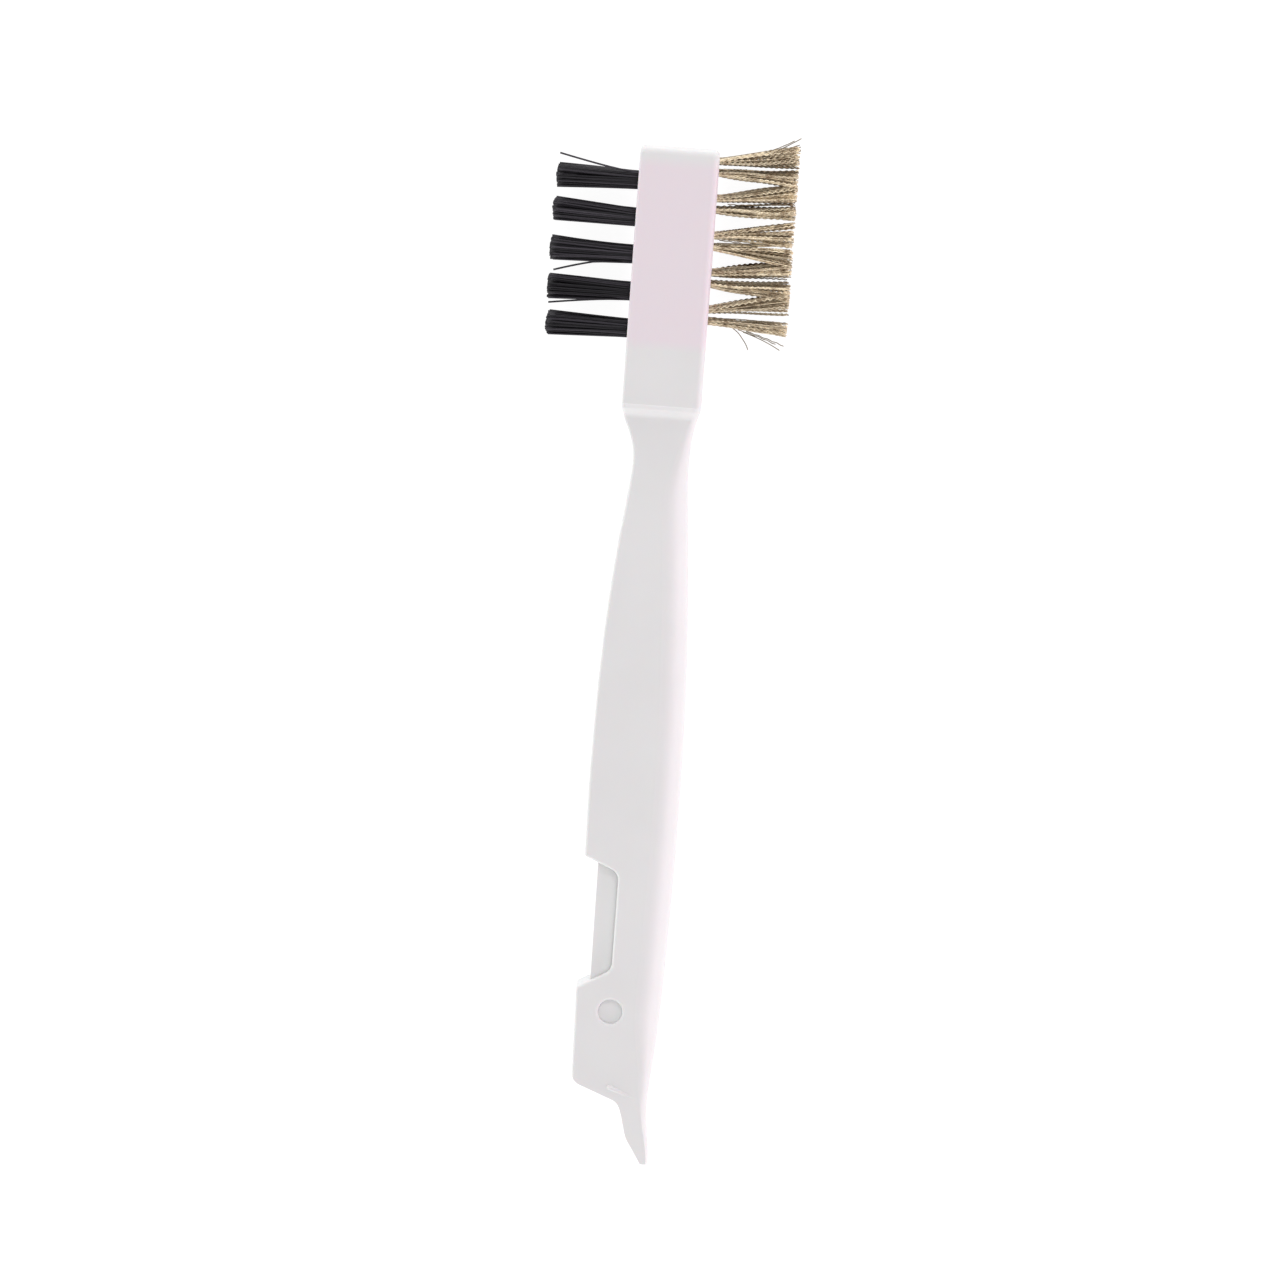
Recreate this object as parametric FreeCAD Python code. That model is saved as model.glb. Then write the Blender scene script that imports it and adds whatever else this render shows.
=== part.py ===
"""Double-sided club groove brush: a white moulded handle with a tufted head, black nylon tufts on
one side and crimped brass tufts on the other, a thumb notch and a round socket in a hollow grip, and
a tapered pick at the handle's end.

Frame, in millimetres: the brush lies flat on its back. +Y runs along it towards the head, +X is the
brass side, -X the nylon side and +Z is up. The origin is the centre of the overall box, at its
bottom. "Down" is the distance from the head's top edge towards the pick. Every tuft is folded in
half over a flat anchor that is driven into the bottom of its hole.
"""

import FreeCAD, Part
import math
import os

Vector = FreeCAD.Vector
PARTS_FOLDER = "parts"

# Overall
LENGTH = 185.0

# Head block
HEAD_WIDTH = 14.4
HEAD_DEPTH = 12.0
HEAD_LENGTH = 46.3
HEAD_EDGE_R = 0.45
HEAD_SPINE_R = 1.3
HEAD_END_R = 1.05

# Handle: (down, x) of its left and right edges, from the head's lower end to the pick
LEFT_EDGE = [(HEAD_LENGTH, -7.2), (49.0, -6.6), (51.6, -5.5), (54.0, -4.75), (57.3, -4.45), (61.5, -4.8),
             (66.5, -5.4), (77.5, -6.6), (92.1, -7.6), (113.5, -8.1), (129.5, -7.9), (152.5, -7.75),
             (168.5, -7.4), (LENGTH, -7.2)]
RIGHT_EDGE = [(HEAD_LENGTH, 7.2), (49.0, 6.55), (51.6, 6.05), (54.5, 5.8), (57.5, 5.75), (61.0, 5.85),
              (66.5, 6.25), (77.5, 7.15), (92.1, 8.0), (106.5, 8.5), (124.5, 8.6), (140.5, 8.4),
              (154.0, 8.0), (165.0, 7.35), (171.5, 6.75), (175.0, 6.6), (180.0, 7.1), (LENGTH, 7.6)]
HANDLE_DEPTH = 10.0
SHOULDER_LENGTH = 2.6
NECK_END = 68.0
NECK_STATIONS = 28
GRIP_STATIONS = 18
EDGE_R = 0.5
SPINE_R = 4.8
BACK_SPINE_R = 3.0

# The spine grows sharper towards the pick
SHARP_START = 152.0
SHARP_END = 178.0
SHARP_SPINE_R = 1.6

# Hollow grip and its back cover
SIDE_WALL = 2.4
NEAR_WALL = 1.8
CAVITY_START = 66.5
CAVITY_END = 166.5
CAVITY_STATIONS = 9
CAVITY_CORNER_R = 1.6
COVER_THICKNESS = 1.6
COVER_GAP = 0.1
BOSS_R = 2.4
PEG_R = 1.2
PEG_GAP = 0.03
PEG_LENGTH = 5.0
PEG_TIP_GAP = 0.5
PEG_PLACES = [(0.9, 75.5), (0.9, 104.5), (3.2, 163.0)]

# Thumb notch in the grip's left side
NOTCH_FLOOR_X = -1.55
NOTCH_START = 129.2
NOTCH_END = 153.4
NOTCH_START_SLOPE = math.radians(23.0)
NOTCH_END_SLOPE = math.radians(29.0)
NOTCH_CORNER_R = 2.2

# Round socket in the near wall. Its floor is a wider plug on the cover, in a counterbore behind it
SOCKET = (-1.25, 157.4)
SOCKET_R = 2.2
SOCKET_DEPTH = 1.2
COUNTERBORE_R = 2.8
PLUG_R = 2.7
PLUG_GAP = 0.05

# Rounded rims of the notch and the socket on the near face
NOTCH_RIM_R = 0.5
SOCKET_RIM_R = 0.55

# The cover's land, which closes the notch and the socket from behind
LAND_START = 127.0
LAND_END = 160.4
LAND_RIGHT_X = 1.6
LAND_GAP = 0.3

# Heel and pick at the handle's end
HEEL_CORNER = (-7.4, 170.55)
HEEL_R = 2.4
PICK_FLANK = [(0.15, 173.45), (1.1, 174.05), (1.95, 175.7), (2.75, 178.7), (3.35, 180.5), (4.4, 182.15),
              (5.3, 183.6), (6.2, LENGTH)]
PICK_LINE = ((-0.45, 171.2), (4.1, 172.9))
PICK_NEAR_TAPER = 3.0
PICK_BACK_TAPER = 27.0
RIDGE_R = 0.45
RIDGE_HEIGHT = 0.36

# Tufts
TUFTS_PER_ROW = 5
TUFT_PITCH = 6.72
NYLON_FIRST_DOWN = 6.2
BRASS_FIRST_DOWN = 2.85
ROW_PITCH = 5.2
ROWS = {"upper": (HEAD_DEPTH + ROW_PITCH) / 2, "lower": (HEAD_DEPTH - ROW_PITCH) / 2}
HOLE_R = 1.75
HOLE_DEPTH = 5.6
TUFT_GAP = 0.03
TRIM = 14.8
NYLON_TIP_R = 2.3
LEG_ROOT = 1.02
LEG_ROOT_HALVES = (0.6, 1.2)
LEG_TIP = 1.75
LEG_TIP_HALVES = (1.45, 2.0)
BRASS_LEAN = 1.1
LEG_START = 0.8

# Anchors
ANCHOR_WIDTH = 4.2
ANCHOR_HEIGHT = 1.8
ANCHOR_THICKNESS = 0.35

# Places that follow: the first brass tuft's tip stands past the head's top
OVERHANG = LEG_TIP + LEG_TIP_HALVES[0] + BRASS_LEAN - BRASS_FIRST_DOWN
TOP_Y = (LENGTH - OVERHANG) / 2
FACE_X = HEAD_WIDTH / 2
HOLE_BOTTOM_X = FACE_X - HOLE_DEPTH
ANCHOR_X = HOLE_BOTTOM_X + HOLE_R
LAND_Z = HANDLE_DEPTH - NEAR_WALL - LAND_GAP
COUNTERBORE_Z = HANDLE_DEPTH - SOCKET_DEPTH

# How far a cutter reaches past what it cuts, how far it reaches to miss the whole handle, and how
# near two numbers are to count as the same
CLEAR = 1.0
FAR = 30.0
SAME = 1e-4


def y_at(down):
    """The y of a place this far down from the head's top."""
    return TOP_Y - down


def smooth(share):
    """A gentle step from 0 to 1."""
    share = min(1.0, max(0.0, share))
    return share**3 * (share * (6 * share - 15) + 10)


def edge_at(points, down):
    """x of a handle edge, on a smooth curve through its points."""
    last = len(points) - 1
    slopes = [0.0]
    for i in range(1, last + 1):
        before, after = points[i - 1], points[min(i + 1, last)]
        slopes.append((after[1] - before[1]) / (after[0] - before[0]))
    i = max(k for k in range(last) if k == 0 or points[k][0] <= down)
    (d0, x0), (d1, x1) = points[i], points[i + 1]
    span = d1 - d0
    t = (down - d0) / span
    return (
        (2 * t**3 - 3 * t**2 + 1) * x0
        + (t**3 - 2 * t**2 + t) * span * slopes[i]
        + (3 * t**2 - 2 * t**3) * x1
        + (t**3 - t**2) * span * slopes[i + 1]
    )


def rounded_section(y, left, right, depth, left_r, near_spine_r, back_spine_r):
    """A closed wire across the handle at y: a rectangle with four rounded corners."""
    corners = [
        (left, 0.0, left_r, 1, 1),
        (right, 0.0, back_spine_r, -1, 1),
        (right, depth, near_spine_r, -1, -1),
        (left, depth, left_r, 1, -1),
    ]
    arcs = []
    for index, (x, z, r, inward_x, inward_z) in enumerate(corners):
        cut = r * (1 - math.sqrt(0.5))
        ends = [Vector(x, y, z + inward_z * r), Vector(x + inward_x * r, y, z)]
        if index % 2:
            ends.reverse()
        arcs.append(Part.Arc(ends[0], Vector(x + inward_x * cut, y, z + inward_z * cut), ends[1]))
    edges = []
    for arc, following in zip(arcs, arcs[1:] + arcs[:1]):
        edges.append(arc.toShape())
        edges.append(Part.LineSegment(arc.EndPoint, following.StartPoint).toShape())
    return Part.Wire(edges)


def handle_section(down):
    """The handle's section, which grows into the head's over the neck and the shoulder."""
    lift = 1 - smooth((down - HEAD_LENGTH) / SHOULDER_LENGTH)
    head_share = 1 - smooth((down - HEAD_LENGTH) / (NECK_END - HEAD_LENGTH))
    sharp_share = smooth((down - SHARP_START) / (SHARP_END - SHARP_START))
    spine_r = SPINE_R + (SHARP_SPINE_R - SPINE_R) * sharp_share
    return rounded_section(
        y_at(down),
        edge_at(LEFT_EDGE, down),
        edge_at(RIGHT_EDGE, down),
        HANDLE_DEPTH + (HEAD_DEPTH - HANDLE_DEPTH) * lift,
        EDGE_R + (HEAD_EDGE_R - EDGE_R) * head_share,
        spine_r + (HEAD_SPINE_R - spine_r) * head_share,
        BACK_SPINE_R + (HEAD_SPINE_R - BACK_SPINE_R) * head_share,
    )


def loft(start, end, stations):
    """A smooth solid through evenly spaced handle sections."""
    step = (end - start) / (stations - 1)
    return Part.makeLoft([handle_section(start + i * step) for i in range(stations)], True, False)


def head_block():
    """The head: a prism on its lower section, with its top edges rounded."""
    block = Part.Face(handle_section(HEAD_LENGTH)).extrude(Vector(0, HEAD_LENGTH, 0))
    top_edges = [e for e in block.Edges if all(abs(v.Y - TOP_Y) < SAME for v in e.Vertexes)]
    return block.makeFillet(HEAD_END_R, top_edges)


def upright(place, low_z, high_z, r):
    """An upright cylinder at (x, down)."""
    x, down = place
    return Part.makeCylinder(r, high_z - low_z, Vector(x, y_at(down), low_z))


def interpolated(points):
    """An edge on a smooth curve through points."""
    curve = Part.BSplineCurve()
    curve.interpolate(points)
    return curve.toShape()


def raised(edges, height):
    """A solid that stands on a flat closed outline."""
    return Part.Face(Part.Wire(edges)).extrude(Vector(0, 0, height))


def upright_edges(solid):
    """The edges that run from the bottom to the top."""
    return [e for e in solid.Edges if abs(e.Vertexes[0].Z - e.Vertexes[-1].Z) > SAME]


def cavity(inset, low_z, high_z):
    """The grip's hollow, whose sides follow the handle's edges, drawn in by inset all round."""
    left, right = [], []
    start, end = CAVITY_START + inset, CAVITY_END - inset
    for i in range(CAVITY_STATIONS):
        down = start + (end - start) * i / (CAVITY_STATIONS - 1)
        left.append(Vector(edge_at(LEFT_EDGE, down) + SIDE_WALL + inset, y_at(down), low_z))
        right.append(Vector(edge_at(RIGHT_EDGE, down) - SIDE_WALL - inset, y_at(down), low_z))
    right.reverse()
    outline = [
        interpolated(left),
        Part.LineSegment(left[-1], right[0]).toShape(),
        interpolated(right),
        Part.LineSegment(right[-1], left[0]).toShape(),
    ]
    solid = raised(outline, high_z - low_z)
    return solid.makeFillet(CAVITY_CORNER_R - inset, upright_edges(solid))


def thumb_notch():
    """The cutter for the thumb notch, through the near wall and the left wall."""
    edge_x = edge_at(LEFT_EDGE, NOTCH_START)

    def corner(x, down, slope):
        return Vector(x, y_at(down + (x - edge_x) * math.tan(slope)), -CLEAR)

    corners = [
        corner(-FAR, NOTCH_START, NOTCH_START_SLOPE),
        corner(NOTCH_FLOOR_X, NOTCH_START, NOTCH_START_SLOPE),
        corner(NOTCH_FLOOR_X, NOTCH_END, -NOTCH_END_SLOPE),
        corner(-FAR, NOTCH_END, -NOTCH_END_SLOPE),
    ]
    cutter = raised(Part.makePolygon(corners + corners[:1]).Edges, HEAD_DEPTH + 2 * CLEAR)
    inner = [e for e in upright_edges(cutter) if abs(e.Vertexes[0].X - NOTCH_FLOOR_X) < SAME]
    return cutter.makeFillet(NOTCH_CORNER_R, inner)


def end_trim():
    """The cutter that shapes the rounded heel, its ramp and the pick's left flank."""
    corner_x, corner_down = HEEL_CORNER
    ramp_x, ramp_down = PICK_FLANK[0]
    tip_x, tip_down = PICK_FLANK[-1]
    ramp = math.atan2(ramp_down - corner_down, ramp_x - corner_x)
    half_turn = (math.pi / 2 - ramp) / 2
    reach = HEEL_R * math.tan(half_turn)

    def place(x, down):
        return Vector(x, y_at(down), -CLEAR)

    def on_heel(turn):
        return place(
            corner_x + HEEL_R * (1 - math.cos(turn)), corner_down - reach + HEEL_R * math.sin(turn)
        )

    heel = Part.Arc(on_heel(0), on_heel(half_turn), on_heel(2 * half_turn))
    flank = [place(*point) for point in PICK_FLANK]
    around = [
        flank[-1],
        place(tip_x, tip_down + FAR),
        place(-FAR, tip_down + FAR),
        place(-FAR, corner_down - reach),
        heel.StartPoint,
    ]
    outline = [
        heel.toShape(),
        Part.LineSegment(heel.EndPoint, flank[0]).toShape(),
        interpolated(flank),
        *Part.makePolygon(around).Edges,
    ]
    return raised(outline, HEAD_DEPTH + 2 * CLEAR)


def on_pick_line(shape):
    """Moves a shape that is drawn along X from the origin, on z = 0, onto the pick line."""
    (x0, down0), (x1, down1) = PICK_LINE
    shape.rotate(Vector(0, 0, 0), Vector(0, 0, 1), -math.degrees(math.atan2(down1 - down0, x1 - x0)))
    shape.translate(Vector(x0, y_at(down0), HANDLE_DEPTH))
    return shape


def pick_wedge(taper):
    """The wedge that thins the pick on its near side, from nothing at the pick line."""
    drop = FAR * math.tan(math.radians(taper))
    side = [Vector(-FAR, *place) for place in ((0, 0), (-FAR, -drop), (-FAR, FAR), (0, FAR))]
    return on_pick_line(Part.Face(Part.makePolygon(side + side[:1])).extrude(Vector(2 * FAR, 0, 0)))


def pick_ridge():
    """The small ridge on the pick line, highest at its left end and gone at its right end."""
    (x0, down0), (x1, down1) = PICK_LINE
    length = math.hypot(x1 - x0, down1 - down0)
    ridge = Part.makeCylinder(RIDGE_R, length, Vector(0, 0, RIDGE_HEIGHT - RIDGE_R), Vector(1, 0, 0))
    ridge = ridge.fuse(Part.makeSphere(RIDGE_R, Vector(0, 0, RIDGE_HEIGHT - RIDGE_R)))
    sink = math.degrees(math.atan2(RIDGE_HEIGHT, length))
    ridge.rotate(Vector(0, 0, 0), Vector(0, 1, 0), sink)
    return on_pick_line(ridge)


def tuft_places():
    """(kind, row, number, side, y, z) of every tuft. side is -1 for nylon and +1 for brass."""
    for kind, side, first_down in (("nylon", -1, NYLON_FIRST_DOWN), ("brass", 1, BRASS_FIRST_DOWN)):
        for row, z in ROWS.items():
            for number in range(TUFTS_PER_ROW):
                yield kind, row, number + 1, side, y_at(first_down + number * TUFT_PITCH), z


def box(side, low_x, high_x, y, z, width, height):
    """A box from low_x to high_x on one side, centred on y and z."""
    start_x = low_x if side > 0 else -high_x
    return Part.makeBox(high_x - low_x, width, height, Vector(start_x, y - width / 2, z - height / 2))


def folded_column(side, y, z, r, mouth_x):
    """A round column from a hole's bottom out to mouth_x, whose inner end is rounded as a tuft's fold
    is."""
    start = Vector(side * HOLE_BOTTOM_X, y, z)
    column = Part.makeCylinder(r, mouth_x - HOLE_BOTTOM_X, start, Vector(side, 0, 0))
    fold = Part.makeCylinder(r, 4 * r, Vector(side * ANCHOR_X, y, z - 2 * r))
    return column.common(fold.fuse(box(side, ANCHOR_X, mouth_x, y, z, 2 * r, 4 * r)))


def anchor(side, y, z):
    """A flat anchor across the hole, which bites into the plastic at both ends."""
    return box(side, ANCHOR_X, ANCHOR_X + ANCHOR_HEIGHT, y, z, ANCHOR_THICKNESS, ANCHOR_WIDTH)


def bundle(side, y, z, sections):
    """A straight-sided bundle through oval sections (x, sideways, half width, half height)."""
    rings = []
    for x, sideways, half_width, half_height in sections:
        centre = Vector(side * x, y + sideways, z)
        if half_width == half_height:
            ring = Part.Circle(centre, Vector(side, 0, 0), half_width)
        else:
            long_end, short_end = Vector(0, 0, half_height), Vector(0, half_width, 0)
            ring = Part.Ellipse(centre + long_end, centre + short_end, centre)
        rings.append(Part.Wire(ring.toShape()))
    return Part.makeLoft(rings, True, True)


def nylon_tuft(side, y, z):
    """A nylon tuft: one bundle, folded over its anchor."""
    r = HOLE_R - TUFT_GAP
    base = folded_column(side, y, z, r, FACE_X)
    brush = bundle(side, y, z, [(FACE_X, 0.0, r, r), (FACE_X + TRIM, 0.0, NYLON_TIP_R, NYLON_TIP_R)])
    return base.fuse(brush).cut(anchor(side, y, z)).removeSplitter()


def brass_tuft(side, y, z):
    """A brass tuft: its two legs stand apart in a V, and lean a little towards the head's top."""
    whole = folded_column(side, y, z, HOLE_R - TUFT_GAP, FACE_X)
    whole = whole.cut(box(side, ANCHOR_X, FACE_X + CLEAR, y, z, ANCHOR_THICKNESS, 4 * HOLE_R))
    for way in (-1, 1):
        root = (way * LEG_ROOT, *LEG_ROOT_HALVES)
        tip = (way * LEG_TIP + BRASS_LEAN, *LEG_TIP_HALVES)
        sections = [(FACE_X - LEG_START, *root), (FACE_X, *root), (FACE_X + TRIM, *tip)]
        whole = whole.fuse(bundle(side, y, z, sections))
    return whole.removeSplitter()


def rim_edges(body, start, end, right_x):
    """The near-face edges of a cut that lies between two down distances, left of right_x."""
    low_y, high_y = y_at(end + CLEAR), y_at(start - CLEAR)
    chosen = []
    for edge in body.Edges:
        ends = [v.Point for v in edge.Vertexes]
        flat = all(abs(p.z - HANDLE_DEPTH) < SAME for p in ends)
        if flat and all(low_y < p.y < high_y and p.x < right_x + SAME for p in ends):
            chosen.append(edge)
    return chosen


def brush_body():
    """The one-piece moulding: head, neck, hollow grip, heel and pick."""
    body = head_block().fuse([
        loft(HEAD_LENGTH, NECK_END, NECK_STATIONS),
        loft(NECK_END, LENGTH, GRIP_STATIONS),
    ])
    back_wedge = pick_wedge(PICK_BACK_TAPER).mirror(Vector(0, 0, HANDLE_DEPTH / 2), Vector(0, 0, 1))
    body = body.cut([end_trim(), pick_wedge(PICK_NEAR_TAPER), back_wedge])
    hollow = cavity(0.0, -CLEAR, HANDLE_DEPTH - NEAR_WALL)
    hollow = hollow.cut([upright(p, COVER_THICKNESS, HANDLE_DEPTH, BOSS_R) for p in PEG_PLACES])
    body = body.cut([hollow, thumb_notch()])
    socket_top = COVER_THICKNESS + PEG_LENGTH + PEG_TIP_GAP
    body = body.cut([upright(p, 0.0, socket_top, PEG_R + PEG_GAP) for p in PEG_PLACES])
    counterbore = upright(SOCKET, COVER_THICKNESS, COUNTERBORE_Z, COUNTERBORE_R)
    body = body.cut([upright(SOCKET, COVER_THICKNESS, HEAD_DEPTH, SOCKET_R), counterbore])
    socket_x, socket_down = SOCKET
    socket_span = (socket_down - SOCKET_R, socket_down + SOCKET_R, socket_x + SOCKET_R)
    body = body.makeFillet(SOCKET_RIM_R, rim_edges(body, *socket_span))
    body = body.makeFillet(NOTCH_RIM_R, rim_edges(body, NOTCH_START, NOTCH_END, NOTCH_FLOOR_X))
    body = body.fuse(pick_ridge())
    for _, _, _, side, y, z in tuft_places():
        body = body.cut([folded_column(side, y, z, HOLE_R, FACE_X + CLEAR), anchor(side, y, z)])
    return body


def back_cover():
    """The flush cover of the hollow grip, with its land, the socket's plug and the pegs that hold it
    in the body's bosses."""
    plate = cavity(COVER_GAP, 0.0, COVER_THICKNESS)
    width = LAND_RIGHT_X + FACE_X + CLEAR
    corner = Vector(LAND_RIGHT_X - width, y_at(LAND_END), 0.0)
    land = cavity(COVER_GAP, 0.0, LAND_Z)
    land = land.common(Part.makeBox(width, LAND_END - LAND_START, LAND_Z, corner))
    pegs = [upright(p, 0.0, COVER_THICKNESS + PEG_LENGTH, PEG_R) for p in PEG_PLACES]
    plug = upright(SOCKET, 0.0, COUNTERBORE_Z - PLUG_GAP, PLUG_R)
    return plate.fuse([land, plug, *pegs]).removeSplitter()


def write(name, shape):
    """Writes one node's STEP file and says what is in it."""
    size = shape.optimalBoundingBox(True, False)
    print(f"{name:24s} solids {len(shape.Solids)} valid {shape.isValid()} volume {shape.Volume:8.1f} "
          f"y {size.YMin:.3f} {size.YMax:.3f} z {size.ZMin:.3f} {size.ZMax:.3f}")
    shape.exportStep(os.path.join(PARTS_FOLDER, name + ".step"))


def main():
    os.makedirs(PARTS_FOLDER, exist_ok=True)
    write("brush_body", brush_body())
    write("back_cover", back_cover())
    make = {"nylon": nylon_tuft, "brass": brass_tuft}
    for kind, row, number, side, y, z in tuft_places():
        write(f"{kind}_tuft_{row}_{number}", make[kind](side, y, z))
        write(f"{kind}_anchor_{row}_{number}", anchor(side, y, z))


main()
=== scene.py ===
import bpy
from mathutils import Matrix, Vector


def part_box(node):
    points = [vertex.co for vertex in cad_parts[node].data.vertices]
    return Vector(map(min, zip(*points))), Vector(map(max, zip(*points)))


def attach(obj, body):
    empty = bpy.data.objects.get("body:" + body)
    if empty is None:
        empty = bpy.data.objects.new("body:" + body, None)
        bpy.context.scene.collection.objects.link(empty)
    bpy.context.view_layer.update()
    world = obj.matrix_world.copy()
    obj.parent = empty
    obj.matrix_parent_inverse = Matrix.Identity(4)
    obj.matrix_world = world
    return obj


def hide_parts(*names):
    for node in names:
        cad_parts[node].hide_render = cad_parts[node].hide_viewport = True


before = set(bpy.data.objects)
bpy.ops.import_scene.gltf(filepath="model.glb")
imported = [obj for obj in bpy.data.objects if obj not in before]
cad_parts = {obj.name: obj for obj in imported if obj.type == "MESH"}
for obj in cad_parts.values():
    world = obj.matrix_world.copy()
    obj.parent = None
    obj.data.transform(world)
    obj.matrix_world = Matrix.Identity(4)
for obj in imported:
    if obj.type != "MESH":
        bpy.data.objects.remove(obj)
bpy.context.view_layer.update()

# The looks of a double-sided club groove brush, in metres, in the frame of the CAD model: +Y runs
# towards the head, -X is the nylon side, +X the brass side and +Z is up. The moulded body, the back
# cover and the anchors are the CAD's own nodes with better materials. Each tuft is rebuilt from
# filaments or wires that are folded over their anchor, with both cut ends out of one hole.

import math

import bpy
import numpy as np
from mathutils import Matrix, Vector

MM = 0.001
ROWS = ("upper", "lower")
TUFT_NUMBERS = range(1, 6)
LOWER_SEED = 100
TRIM = 14.8 * MM
FOLD_POINTS = 7

# Nylon filaments, folded in half. They gather in clumps and flare from the root to a low domed tip.
# The two FLARE values are the power of the way out that a filament or wire spreads with
NYLON_FOLDED = 38
NYLON_CLUMPS = 9
NYLON_TIGHTNESS = 0.35
NYLON_R = 0.17 * MM
NYLON_SIDES = 6
NYLON_POINTS = 9
NYLON_ROOT = 1.52 * MM
NYLON_TIP = 2.2 * MM
NYLON_FLARE = 1.15
NYLON_DOME = 0.4 * MM
NYLON_UNEVEN = 0.2 * MM
CLUMP_DRIFT = 0.11 * MM
NYLON_DRIFT = 0.07 * MM
NYLON_BOW = 0.06 * MM

# How far each nylon tuft's tip leans towards the head and reaches past the trim, in mm, tuft 1 to 5
NYLON_LEANS = [(0.0, 0.15), (0.6, 0.45), (0.15, 0.45), (0.0, 0.45), (0.05, 0.2)]

# Stray nylon filaments of the upper row. Tuft number: where its tip stands along Y in mm, what share of
# the way out it leaves the bundle and how long it is in mm. It reaches STRAY_Z in the first
# 1 / STRAY_RISE of its way
NYLON_STRAYS = {1: (4.1, 0.0, 14.4), 3: (-3.6, 0.45, 14.1), 4: (-2.8, 0.3, 14.6)}
STRAY_Z = 1.9 * MM
STRAY_RISE = 2.5
STRAY_BEND = 1.2

# Crimp of the brass wires. Each pair is the least and the most that the value above it is scaled by
CRIMP_LENGTH = 1.05 * MM
STRAND_CRIMP_LENGTHS = (0.88, 1.12)
WIRE_CRIMP_LENGTHS = (0.93, 1.07)
CRIMP_HEIGHT = 0.1 * MM
CRIMP_HEIGHTS = (0.6, 1.3)
CRIMP_STEPS = 6

# Brass wires, folded in half, in strands. Each tuft has two legs, whose roots have half widths along
# Y and Z
WIRES_FOLDED = 40
WIRE_STRANDS = 8
STRAND_TIGHTNESS = 0.68
WIRE_R = 0.115 * MM
WIRE_SIDES = 5
LEG_ROOT = 1.02 * MM
LEG_ROOT_HALVES = (0.52 * MM, 1.12 * MM)
LEG_TIP_HALF_Z = 1.75 * MM
LEG_FLARE = 1.1
WIRE_SHORT = 0.3 * MM
WIRE_UNEVEN = 0.55 * MM

# How much the strands and the wires in them differ, as standard deviations
STRAND_DRIFT = 0.17 * MM
WIRE_DRIFT_Y = 0.12 * MM
WIRE_DRIFT_Z = 0.1 * MM
WIRE_PHASE = 0.9
WIRE_PLANE = 0.5
STRAND_TONE = 0.33
WIRE_TONE = 0.2

# The tone of a middle wire, and how much lighter the topmost wires are painted and the lowest darker:
# painted light on top and painted shade below
MEAN_TONE = 0.67
TOP_PAINTED_LIGHT = 0.4

# Each brass leg's tip, tuft 1 to 5, in mm: how far along Y from the tuft's middle, and its half width
HEADWARD_TIPS = [(2.9, 2.0), (2.95, 1.85), (2.3, 2.45), (2.55, 1.5), (3.3, 2.15)]
PICKWARD_TIPS = [(-1.35, 1.8), (-0.5, 1.35), (-1.8, 2.5), (-1.35, 1.95), (-1.55, 1.15)]

# Sprung wires of the upper row, each the end of a wire that has left its leg. Tuft number to lists of
# (outward, y, z) points in mm
SPRUNG = {
    1: [
        [(5.5, 2.0, 0.6), (10.5, 3.7, 0.9), (14.2, 5.3, 1.0)],
        [(8.5, 2.9, 0.2), (11.5, 4.6, 0.5), (14.4, 6.4, 0.6)],
        [(7.0, 2.6, -0.4), (11.5, 3.6, 0.0), (13.9, 4.3, 0.2)],
        [(3.5, 1.6, 0.2), (6.5, 2.4, 0.3), (9.0, 2.7, 0.4)],
        [(6.0, 2.5, 0.4), (10.0, 4.2, 0.7), (13.2, 5.9, 0.9)],
    ],
    2: [
        [(2.0, 0.3, 0.6), (7.0, 0.5, 0.8), (12.5, 1.0, 0.8)],
        [(4.0, 0.2, -0.2), (9.0, 0.7, 0.0), (13.8, 0.9, 0.2)],
    ],
    3: [
        [(0.6, -0.1, 0.5), (5.0, 0.1, 0.8), (10.0, 0.3, 0.8)],
        [(1.0, 0.4, 0.3), (4.5, 0.2, 0.5), (8.0, -0.3, 0.5)],
    ],
    5: [
        [(1.5, -0.3, 0.4), (6.5, -0.1, 0.7), (12.0, -0.3, 0.8)],
        [(3.0, -0.6, 0.9), (8.0, -0.7, 1.0), (13.4, -0.9, 0.9)],
        [(5.5, -2.0, 0.6), (9.5, -3.1, 0.5), (12.5, -4.2, 0.4)],
        [(7.0, -2.2, 0.0), (10.5, -3.2, 0.2), (14.0, -4.4, 0.2)],
        [(4.5, -1.8, -0.4), (6.3, -3.4, -0.2), (7.6, -5.6, 0.0)],
        [(6.5, -2.4, 0.3), (10.0, -3.6, 0.4), (13.3, -5.2, 0.5)],
    ],
}
SPRUNG_R = 0.09 * MM
SPRUNG_CRIMP = 0.06 * MM
SPRUNG_CRIMP_LENGTH = 1.6 * CRIMP_LENGTH
SPRUNG_POINTS = 36
SPRUNG_TONE = 0.2

# Colours
WHITE = (1.0, 1.0, 1.0)
BODY_LIGHT, BODY_DARK = (0.773, 0.773, 0.771), (0.753, 0.753, 0.751)
# The cover is painted paler than the body: painted light that stands in for light reaching the floors of
# the notch and the socket
COVER_LIGHT, COVER_DARK = (0.82, 0.815, 0.815), (0.80, 0.795, 0.795)
NYLON_DARK, NYLON_BLOOM = (0.006, 0.005, 0.0075), (0.042, 0.0375, 0.047)
# Brass runs from dark to bright with each wire's tone, which holds painted light and painted shade; the
# oxide is the metal's own
BRASS_DARK, BRASS_BRIGHT, BRASS_OXIDE = (0.05, 0.034, 0.021), (1.0, 0.87, 0.65), (0.36, 0.26, 0.165)
STEEL_DARK, STEEL_LIGHT = (0.42, 0.41, 0.39), (0.66, 0.65, 0.62)
FLOOR_DARK, FLOOR_LIGHT = (0.19, 0.19, 0.19), (0.21, 0.21, 0.21)

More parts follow.
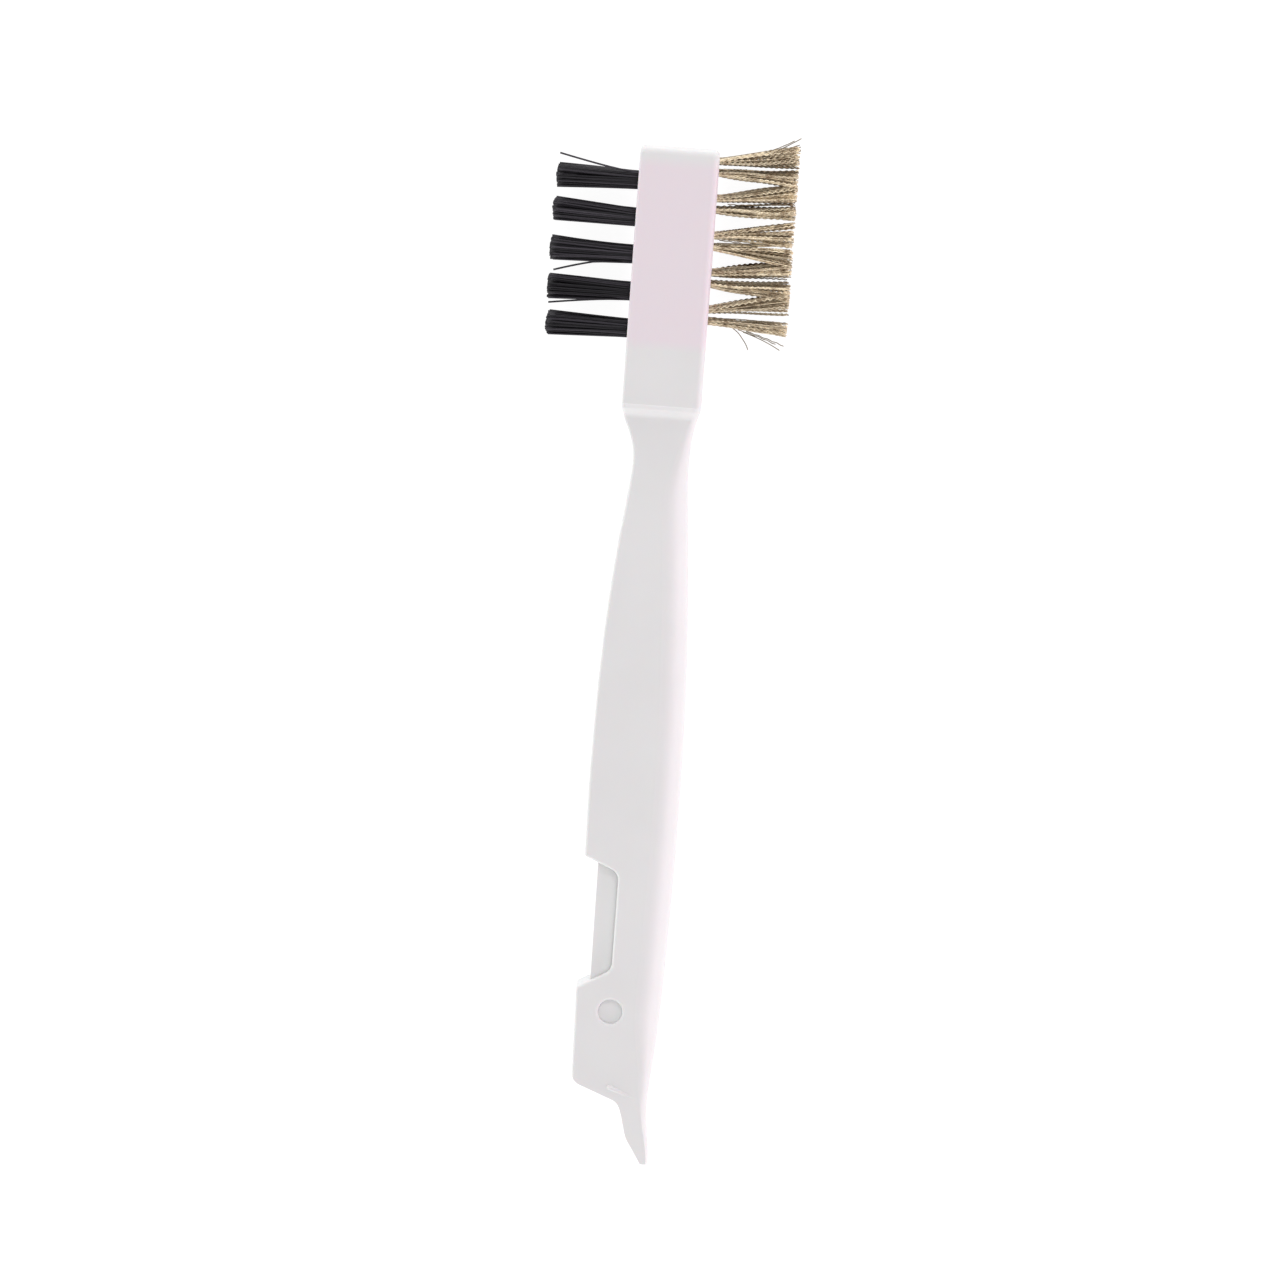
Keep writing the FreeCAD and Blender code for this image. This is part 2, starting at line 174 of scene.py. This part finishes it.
# Painted light on one part of a plastic: axis, colour, where the painted light starts and ends along the
# axis, and over what length it fades
# The head's pinkish cast is a painted reflection of pinkish light, not a colour of the plastic
HEAD_PAINTED_REFLECTION = ("Y", (0.797, 0.72, 0.762), 0.0553, 0.0904, 0.0020)
# The cover's plug top, seen down the socket, is painted paler still: painted light on the socket's floor
PLUG_PAINTED_LIGHT = ("Z", (0.875, 0.87, 0.872), 0.0086, 0.0200, 0.0001)

# Camera
LENS_DISTANCE = 1.8
VIEW_WIDTH = 0.2328
CAMERA_TILT = math.radians(5.9)
CAMERA_ROLL = math.radians(4.2)
LOOK_AT = Vector((-0.0003, 0.0022, 0.010))

# Floor, just clear of the brush's flat back, so that the two faces don't coincide
FLOOR_SIZE = 6.0
FLOOR_Z = -0.2 * MM
FLOOR_GLOW = 0.92

# Surround: its strength at the horizon and overhead, and its colour on the right. Each band is the
# stretch of the direction's Z or X over which the change takes place
HORIZON, OVERHEAD = 1.9, 0.645
HEIGHT_BAND = (0.1, 0.5)
RIGHT_COLOUR = (1.0, 0.85, 0.93)
RIGHT_BAND = (0.3, 0.9)

# Softboxes: place, width, power and colour
SOFTBOXES = {
    "left_softbox": ((-0.9, -0.2, 0.30), 0.7, 1.3, WHITE),
    "right_softbox": ((0.9, -0.2, 0.30), 0.7, 1.5, (1.0, 0.88, 0.94)),
    "near_softbox": ((0.1, -0.9, 0.30), 0.7, 1.1, WHITE),
    "key_softbox": ((0.2, 0.7, 0.9), 0.3, 1.6, WHITE),
}


# ---------------------------------------------------------------- materials


def add_ramp(tree, value, low, high, to_low=0.0, to_high=1.0):
    """value, moved from low..high to to_low..to_high and held there."""
    made = tree.nodes.new("ShaderNodeMapRange")
    made.clamp = True
    for key, number in (("From Min", low), ("From Max", high), ("To Min", to_low), ("To Max", to_high)):
        made.inputs[key].default_value = number
    tree.links.new(value, made.inputs["Value"])
    return made.outputs["Result"]


def add_mix(tree, share, first, second):
    """A colour between first and second, each a colour or an output."""
    made = tree.nodes.new("ShaderNodeMix")
    made.data_type = "RGBA"
    tree.links.new(share, made.inputs["Factor"])
    for socket, colour in (("A", first), ("B", second)):
        target = next(s for s in made.inputs if s.name == socket and s.type == "RGBA")
        if isinstance(colour, tuple):
            target.default_value = (*colour, 1.0)
        else:
            tree.links.new(colour, target)
    return next(s for s in made.outputs if s.type == "RGBA")


class Shader:
    """A new material with helpers that add nodes to it."""

    def __init__(self, name):
        self.material = bpy.data.materials.new(name)
        self.material.use_nodes = True
        self.tree = self.material.node_tree
        self.surface = self.tree.nodes["Principled BSDF"]
        self.places = self.tree.nodes.new("ShaderNodeTexCoord").outputs["Object"]

    def link(self, output, target):
        self.tree.links.new(output, target)

    def set(self, **values):
        for key, value in values.items():
            self.surface.inputs[key.replace("_", " ")].default_value = value

    def stretched(self, scale):
        """Object places stretched by a factor along each axis."""
        mapping = self.tree.nodes.new("ShaderNodeMapping")
        mapping.inputs["Scale"].default_value = scale
        self.link(self.places, mapping.inputs["Vector"])
        return mapping.outputs["Vector"]

    def along(self, axis):
        """How far along X, Y or Z the place is."""
        split = self.tree.nodes.new("ShaderNodeSeparateXYZ")
        self.link(self.places, split.inputs["Vector"])
        return split.outputs[axis]

    def tone(self):
        """The tone that each filament carries, from 0 to 1."""
        attribute = self.tree.nodes.new("ShaderNodeAttribute")
        attribute.attribute_name = "tone"
        return attribute.outputs["Fac"]

    def noise(self, scale, detail=3.0, roughness=0.5, places=None):
        noise = self.tree.nodes.new("ShaderNodeTexNoise")
        noise.inputs["Scale"].default_value = scale
        noise.inputs["Detail"].default_value = detail
        noise.inputs["Roughness"].default_value = roughness
        self.link(places or self.places, noise.inputs["Vector"])
        return noise.outputs["Fac"]

    def ramp(self, value, low, high, to_low=0.0, to_high=1.0):
        return add_ramp(self.tree, value, low, high, to_low, to_high)

    def mix(self, share, first, second):
        return add_mix(self.tree, share, first, second)

    def colour(self, output):
        self.link(output, self.surface.inputs["Base Color"])

    def rough(self, value, low, high, least, most):
        """Roughness from least to most, as value goes from low to high."""
        self.link(self.ramp(value, low, high, least, most), self.surface.inputs["Roughness"])

    def bump(self, *layers):
        """Adds bump layers, each (height output, strength, depth in metres)."""
        normal = None
        for height, strength, depth in layers:
            made = self.tree.nodes.new("ShaderNodeBump")
            made.inputs["Strength"].default_value = strength
            made.inputs["Distance"].default_value = depth
            self.link(height, made.inputs["Height"])
            if normal:
                self.link(normal, made.inputs["Normal"])
            normal = made.outputs["Normal"]
        self.link(normal, self.surface.inputs["Normal"])


def moulded_plastic(name, light, dark, painted_light_part):
    """White moulded plastic: a satin skin with a fine orange-peel, flow clouds and faint handling marks.
    One part of it carries painted light, in another colour between two places along an axis."""
    shader = Shader(name)
    clouds = shader.noise(70.0, detail=4.0)
    colour = shader.mix(shader.ramp(clouds, 0.35, 0.65), dark, light)
    # Painted light: the stretch between low and high along the axis takes the painted colour
    axis, painted_light_colour, low, high, fade = painted_light_part
    along = shader.along(axis)
    with_painted_light = shader.mix(shader.ramp(along, low, low + fade), colour, painted_light_colour)
    shader.colour(shader.mix(shader.ramp(along, high - fade, high), with_painted_light, colour))
    marks = shader.noise(900.0, detail=5.0, roughness=0.7, places=shader.stretched((1.0, 0.12, 1.0)))
    shader.rough(marks, 0.3, 0.75, least=0.33, most=0.46)
    grain = shader.noise(2600.0, detail=2.0)
    orange_peel = shader.noise(260.0)
    shader.bump((grain, 0.10, 0.05 * MM), (orange_peel, 0.12, 0.1 * MM))
    shader.set(IOR=1.49, Subsurface_Weight=0.08, Subsurface_Scale=1.0 * MM)
    return shader.material


def nylon():
    """Black drawn nylon: a dark satin with faint lengthwise streaks and a paler bloom on some filaments."""
    shader = Shader("black_nylon")
    streaks = shader.noise(3500.0, detail=2.0, places=shader.stretched((0.04, 1.0, 1.0)))
    shader.colour(shader.mix(shader.tone(), NYLON_DARK, NYLON_BLOOM))
    shader.rough(streaks, 0.3, 0.7, least=0.38, most=0.55)
    shader.bump((streaks, 0.25, 0.03 * MM))
    shader.set(IOR=1.53, Specular_IOR_Level=0.3)
    return shader.material


def brass():
    """Drawn brass wire: warm metal with brown oxide in patches and fine die lines. Each wire's tone sets it
    between dark and bright brass, with painted light on the upper wires and painted shade on the lower.
    """
    shader = Shader("crimped_brass")
    die_lines = shader.noise(4200.0, detail=2.0, places=shader.stretched((0.08, 1.0, 1.0)))
    oxide = shader.noise(620.0, detail=4.0, roughness=0.6)
    brass_with_painted_light = shader.mix(shader.tone(), BRASS_DARK, BRASS_BRIGHT)
    shader.colour(shader.mix(shader.ramp(oxide, 0.45, 0.70), brass_with_painted_light, BRASS_OXIDE))
    shader.rough(die_lines, 0.3, 0.7, least=0.28, most=0.44)
    shader.bump((die_lines, 0.3, 0.02 * MM))
    shader.set(Metallic=1.0)
    return shader.material


def plated_steel():
    """Flat plated wire: a grey metal with rolling lines."""
    shader = Shader("plated_flat_wire")
    lines = shader.noise(2500.0, roughness=0.6, places=shader.stretched((1.0, 1.0, 0.06)))
    shader.colour(shader.mix(lines, STEEL_DARK, STEEL_LIGHT))
    shader.rough(lines, 0.3, 0.7, least=0.28, most=0.45)
    shader.bump((lines, 0.3, 0.02 * MM))
    shader.set(Metallic=1.0)
    return shader.material


def light_table():
    """The pale floor: a white sheet with a soft light of its own, so that shadows on it stay faint."""
    shader = Shader("pale_floor")
    fibres = shader.noise(160.0, detail=4.0)
    shader.colour(shader.mix(fibres, FLOOR_DARK, FLOOR_LIGHT))
    shader.rough(fibres, 0.3, 0.7, least=0.85, most=0.95)
    shader.bump((fibres, 0.05, 0.2 * MM))
    shader.set(Emission_Color=(*WHITE, 1.0), Emission_Strength=FLOOR_GLOW)
    return shader.material


# ---------------------------------------------------------------- tufts


def in_disc(count):
    """Even places in a disc of radius 1, as an array of (y, z)."""
    index = np.arange(count) + 0.5
    turn = index * math.pi * (3 - math.sqrt(5))
    reach = np.sqrt(index / count)
    return np.column_stack((reach * np.cos(turn), reach * np.sin(turn)))


def clumped(spots, clumps, tightness):
    """Where the spots move to when they gather in clumps, and which clump each is in."""
    centres = in_disc(clumps)
    clump = np.argmin(np.linalg.norm(spots[:, None] - centres[None], axis=2), axis=1)
    return spots + (centres[clump] - spots) * tightness, clump


def tubes(name, paths, radii, sides, tones, material):
    """One object of round tubes along paths, each an array of points, with closed ends."""
    turn = np.arange(sides) * 2 * math.pi / sides
    points, faces, smooth, tone = [], [], [], []
    start = 0
    for path, radius, path_tone in zip(paths, radii, tones):
        along = np.gradient(path, axis=0)
        along /= np.linalg.norm(along, axis=1)[:, None]
        across = np.cross(along, (0.0, 0.0, 1.0))
        across /= np.linalg.norm(across, axis=1)[:, None]
        upward = np.cross(across, along)
        ring = np.cos(turn)[None, :, None] * across[:, None] + np.sin(turn)[None, :, None] * upward[:, None]
        points.append((path[:, None] + radius * ring).reshape(-1, 3))
        rings = len(path)
        for i in range(rings - 1):
            low = start + i * sides
            for k in range(sides):
                following = (k + 1) % sides
                faces.append((low + k, low + following, low + sides + following, low + sides + k))
        smooth += [True] * ((rings - 1) * sides)
        last = start + (rings - 1) * sides
        faces.append(tuple(start + k for k in reversed(range(sides))))
        faces.append(tuple(last + k for k in range(sides)))
        smooth += [False, False]
        tone += [path_tone] * (rings * sides)
        start += rings * sides
    mesh = bpy.data.meshes.new(name)
    mesh.from_pydata(np.concatenate(points).tolist(), [], faces)
    mesh.polygons.foreach_set("use_smooth", smooth)
    mesh.attributes.new("tone", "FLOAT", "POINT").data.foreach_set("value", tone)
    mesh.materials.append(material)
    mesh.validate()
    made = bpy.data.objects.new(name, mesh)
    bpy.context.scene.collection.objects.link(made)
    return made


class Hole:
    """Where one tuft sits, read from its CAD nodes: outwards is the tuft's own direction along X."""

    def __init__(self, kind, row, number):
        low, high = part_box(f"{kind}_anchor_{row}_{number}")
        tuft_low, tuft_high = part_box(f"{kind}_tuft_{row}_{number}")
        self.side = 1 if tuft_high.x > 0 else -1
        self.y, self.z = (low.y + high.y) / 2, (low.z + high.z) / 2
        bottom, self.tip = sorted(abs(x) for x in (tuft_low.x, tuft_high.x))
        self.face = self.tip - TRIM
        self.fold = min(abs(low.x), abs(high.x))
        self.fold_room = self.fold - bottom
        self.anchor_half = (high.y - low.y) / 2

    def place(self, outward, y, z):
        return np.column_stack((self.side * outward, self.y + y, self.z + z))


def fold_points(hole, y, z, radius):
    """The U under the anchor, from the headward leg to the pickward leg, at height z."""
    half = hole.anchor_half + radius
    most = math.sqrt(max(hole.fold_room**2 - z**2, half**2))
    y_anchor = min(max(y, half), most - radius)
    turn = np.linspace(0, math.pi, FOLD_POINTS)
    reach = min(y_anchor, hole.fold_room - radius)
    return hole.fold - reach * np.sin(turn), y_anchor * np.cos(turn), np.full(len(turn), z)


def folded(hole, legs, radius):
    """A whole filament: in along the headward leg, under the anchor and out along the other."""
    root_y, root_z = legs[0][1][0], legs[0][2][0]
    fold = fold_points(hole, root_y, root_z, radius)
    return hole.place(*(np.concatenate((legs[0][i][::-1], fold[i], legs[1][i])) for i in range(3)))


def nylon_paths(hole, rng, tip, stray=None):
    """The folded filaments of one nylon tuft. A stray leaves the bundle and stands apart."""
    lean, past_trim = (value * MM for value in tip)
    spots = in_disc(2 * NYLON_FOLDED)
    spots = spots[spots[:, 0] > 0]
    spots = spots[np.argsort(-spots[:, 0])]
    out = np.linspace(0, 1, NYLON_POINTS)
    flare = out**NYLON_FLARE
    ends = {way: clumped(spots * (way, 1), NYLON_CLUMPS, NYLON_TIGHTNESS) for way in (1, -1)}
    drift = {way: rng.normal(0, CLUMP_DRIFT, (NYLON_CLUMPS, 3)) for way in (1, -1)}
    paths = []
    for index, spot in enumerate(spots):
        legs = []
        for way in (1, -1):
            root_y, root_z = spot * (way, 1) * NYLON_ROOT
            tips, clump = ends[way]
            shift_y, shift_z, shift_end = drift[way][clump[index]]
            tip_y = tips[index][0] * NYLON_TIP + lean + shift_y + rng.normal(0, NYLON_DRIFT)
            tip_z = tips[index][1] * NYLON_TIP + shift_z + rng.normal(0, NYLON_DRIFT)
            end = hole.tip + past_trim - NYLON_DOME * np.hypot(*spot) ** 2 - abs(shift_end)
            end -= abs(rng.normal(0, NYLON_UNEVEN))
            bow = rng.normal(0, NYLON_BOW) * np.sin(math.pi * out)
            leg_y = root_y + (tip_y - root_y) * flare + bow
            leg_z = root_z + (tip_z - root_z) * flare
            legs.append([hole.face + (end - hole.face) * out, leg_y, leg_z])
        if stray and index == 0:
            tip_y, leaves, length = stray
            leg = legs[0 if tip_y > 0 else 1]
            apart = np.clip((out - leaves) / (1 - leaves), 0, 1) ** STRAY_BEND
            leg[0] = hole.face + length * MM * out
            leg[1] = leg[1] + (tip_y * MM - leg[1][-1]) * apart
            leg[2] = leg[2][0] + (STRAY_Z - leg[2][0]) * np.minimum(1.0, STRAY_RISE * out)
        paths.append(folded(hole, legs, NYLON_R))
    return paths


def crimp(outward, height, length, phase, angle):
    """The sideways wave of a crimped wire, as (y, z) offsets, which starts from nothing at the hole."""
    wave = height * np.sin(2 * math.pi * outward / length + phase)
    wave = wave * np.clip(outward / length, 0, 1)
    return wave * math.cos(angle), wave * math.sin(angle)


def brass_paths(hole, rng, leg_tips):
    """The folded wires of one brass tuft, in two legs that stand apart, each of a few strands whose
    wires are crimped alike. Returns their paths and tones, with painted light on the upper wires and
    painted shade on the lower."""
    spots = in_disc(WIRES_FOLDED)
    tips, strand = clumped(spots, WIRE_STRANDS, STRAND_TIGHTNESS)
    out = np.linspace(0, 1, int(TRIM / CRIMP_LENGTH * CRIMP_STEPS) + 1)
    flare = out**LEG_FLARE
    drift = rng.normal(0, STRAND_DRIFT, (2, WIRE_STRANDS, 4))
    phase = rng.uniform(0, 2 * math.pi, (2, WIRE_STRANDS))
    plane = rng.uniform(0, math.pi, (2, WIRE_STRANDS))
    pitch = CRIMP_LENGTH * rng.uniform(*STRAND_CRIMP_LENGTHS, (2, WIRE_STRANDS))
    shade = rng.normal(0, STRAND_TONE, WIRE_STRANDS)
    paths, tones = [], []
    for index, spot in enumerate(spots):
        group = strand[index]
        legs = []
        for side, way in enumerate((1, -1)):
            middle, half = (value * MM for value in leg_tips[side])
            shift_y, shift_z, bow, sway = drift[side, group]
            root_y = way * (LEG_ROOT + spot[0] * LEG_ROOT_HALVES[0])
            root_z = spot[1] * LEG_ROOT_HALVES[1]
            tip_y = middle + way * tips[index][0] * half + shift_y + rng.normal(0, WIRE_DRIFT_Y)
            tip_z = tips[index][1] * LEG_TIP_HALF_Z + shift_z + rng.normal(0, WIRE_DRIFT_Z)
            outward = (TRIM - WIRE_SHORT - abs(rng.normal(0, WIRE_UNEVEN))) * out
            height = CRIMP_HEIGHT * rng.uniform(*CRIMP_HEIGHTS)
            turn = phase[side, group] + rng.normal(0, WIRE_PHASE)
            length = pitch[side, group] * rng.uniform(*WIRE_CRIMP_LENGTHS)
            angle = plane[side, group] + rng.normal(0, WIRE_PLANE)
            wave_y, wave_z = crimp(outward, height, length, turn, angle)
            wander = bow * np.sin(math.pi * out) + 0.5 * sway * np.sin(2 * math.pi * out)
            leg_y = root_y + (tip_y - root_y) * flare + wander + wave_y
            leg_z = root_z + (tip_z - root_z) * flare + wave_z
            legs.append([hole.face + outward, leg_y, leg_z])
        paths.append(folded(hole, legs, WIRE_R))
        # Painted light and painted shade: wires higher in the leg are toned lighter, lower ones darker; the
        # strand and wire terms vary at random
        tones.append(MEAN_TONE + TOP_PAINTED_LIGHT * spot[1] + shade[group] + rng.normal(0, WIRE_TONE))
    return paths, tones


def sprung_wire(hole, points, rng):
    """The path of one sprung wire: a curve through its three points, with a slight crimp."""
    first, through, last = np.array(points) * MM
    share = np.linspace(0, 1, SPRUNG_POINTS)[:, None]
    pull = 2 * through - (first + last) / 2
    outward, y, z = ((1 - share) ** 2 * first + 2 * share * (1 - share) * pull + share**2 * last).T
    wave_y, wave_z = crimp(outward - outward[0], SPRUNG_CRIMP, SPRUNG_CRIMP_LENGTH,
                           rng.uniform(0, 2 * math.pi), rng.uniform(0, math.pi))
    return hole.place(hole.face + outward, y + wave_y, z + wave_z)


def make_tufts(materials):
    """Every tuft, in place of its CAD solid."""
    for row in ROWS:
        upper = row == "upper"
        for number in TUFT_NUMBERS:
            rng = np.random.default_rng(number + (0 if upper else LOWER_SEED))
            hole = Hole("nylon", row, number)
            stray = NYLON_STRAYS.get(number) if upper else None
            paths = nylon_paths(hole, rng, NYLON_LEANS[number - 1], stray)
            tones = rng.uniform(0, 1, len(paths)) ** 2
            tuft = tubes(f"nylon_bristles_{row}_{number}", paths, [NYLON_R] * len(paths), NYLON_SIDES,
                         tones, materials["nylon"])
            settle(tuft, f"nylon_tuft_{row}_{number}")
            hole = Hole("brass", row, number)
            paths, tones = brass_paths(hole, rng, (HEADWARD_TIPS[number - 1], PICKWARD_TIPS[number - 1]))
            radii = [WIRE_R] * len(paths)
            for points in SPRUNG.get(number, []) if upper else []:
                paths.append(sprung_wire(hole, points, rng))
                tones.append(SPRUNG_TONE)
                radii.append(SPRUNG_R)
            tuft = tubes(f"brass_wires_{row}_{number}", paths, radii, WIRE_SIDES,
                         np.clip(tones, 0, 1), materials["brass"])
            settle(tuft, f"brass_tuft_{row}_{number}")


def settle(piece, node):
    """The piece rides on the brush and stands for its CAD node."""
    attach(piece, "root")
    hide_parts(node)


# ---------------------------------------------------------------- body, stage, light and camera


def dress(node, material):
    """Gives a CAD node its material."""
    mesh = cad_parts[node].data
    mesh.materials.clear()
    mesh.materials.append(material)


def softbox(name, place, width, power, colour):
    """A soft square light that looks at the brush."""
    lamp = bpy.data.lights.new(name, "AREA")
    lamp.shape = "SQUARE"
    lamp.size = width
    lamp.energy = power
    lamp.color = colour
    made = bpy.data.objects.new(name, lamp)
    made.location = place
    made.rotation_mode = "QUATERNION"
    made.rotation_quaternion = (Vector(place) - LOOK_AT).to_track_quat("Z", "Y")
    made.visible_camera = False
    bpy.context.scene.collection.objects.link(made)


def make_floor(material):
    """A pale floor under the brush."""
    half = FLOOR_SIZE / 2
    corners = [(x, y, FLOOR_Z) for x, y in ((-half, -half), (half, -half), (half, half), (-half, half))]
    mesh = bpy.data.meshes.new("floor")
    mesh.from_pydata(corners, [], [(0, 1, 2, 3)])
    mesh.materials.append(material)
    floor = bpy.data.objects.new("floor", mesh)
    bpy.context.scene.collection.objects.link(floor)


def make_surround():
    """A bright surround that is dimmer overhead and pinker on the right."""
    world = bpy.data.worlds.new("surround")
    bpy.context.scene.world = world
    world.use_nodes = True
    tree = world.node_tree
    split = tree.nodes.new("ShaderNodeSeparateXYZ")
    direction = tree.nodes.new("ShaderNodeTexCoord").outputs["Generated"]
    tree.links.new(direction, split.inputs["Vector"])
    strength = add_ramp(tree, split.outputs["Z"], *HEIGHT_BAND, HORIZON, OVERHEAD)
    colour = add_mix(tree, add_ramp(tree, split.outputs["X"], *RIGHT_BAND), WHITE, RIGHT_COLOUR)
    lit = tree.nodes["Background"].inputs
    tree.links.new(strength, lit["Strength"])
    tree.links.new(colour, lit["Color"])


def make_camera():
    """Looks down on the brush, from a little towards the head, with the brush turned in the view."""
    data = bpy.data.cameras.new("camera")
    data.lens = data.sensor_width * LENS_DISTANCE / VIEW_WIDTH
    camera = bpy.data.objects.new("camera", data)
    back = Vector((0.0, math.sin(CAMERA_TILT), math.cos(CAMERA_TILT)))
    top = Vector((-math.sin(CAMERA_ROLL), math.cos(CAMERA_ROLL), 0.0))
    right = top.cross(back).normalized()
    up = back.cross(right)
    turn = Matrix((right, up, back)).transposed().to_4x4()
    camera.matrix_world = Matrix.Translation(LOOK_AT + back * LENS_DISTANCE) @ turn
    bpy.context.scene.collection.objects.link(camera)
    bpy.context.scene.camera = camera


# The body's plastic carries the painted pink reflection on the head
body_plastic = moulded_plastic("white_plastic", BODY_LIGHT, BODY_DARK, HEAD_PAINTED_REFLECTION)
# The cover's plastic is painted paler than the body's, and paler still on the plug: painted light on the
# floors of the notch and the socket
cover_plastic = moulded_plastic("cover_plastic", COVER_LIGHT, COVER_DARK, PLUG_PAINTED_LIGHT)
steel = plated_steel()
dress("brush_body", body_plastic)
dress("back_cover", cover_plastic)
for node_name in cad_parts:
    if "_anchor_" in node_name:
        dress(node_name, steel)
make_tufts({"nylon": nylon(), "brass": brass()})
make_floor(light_table())
make_surround()
make_camera()
for box_name, (place, width, power, colour) in SOFTBOXES.items():
    softbox(box_name, place, width, power, colour)
bpy.context.scene.view_settings.view_transform = "Standard"
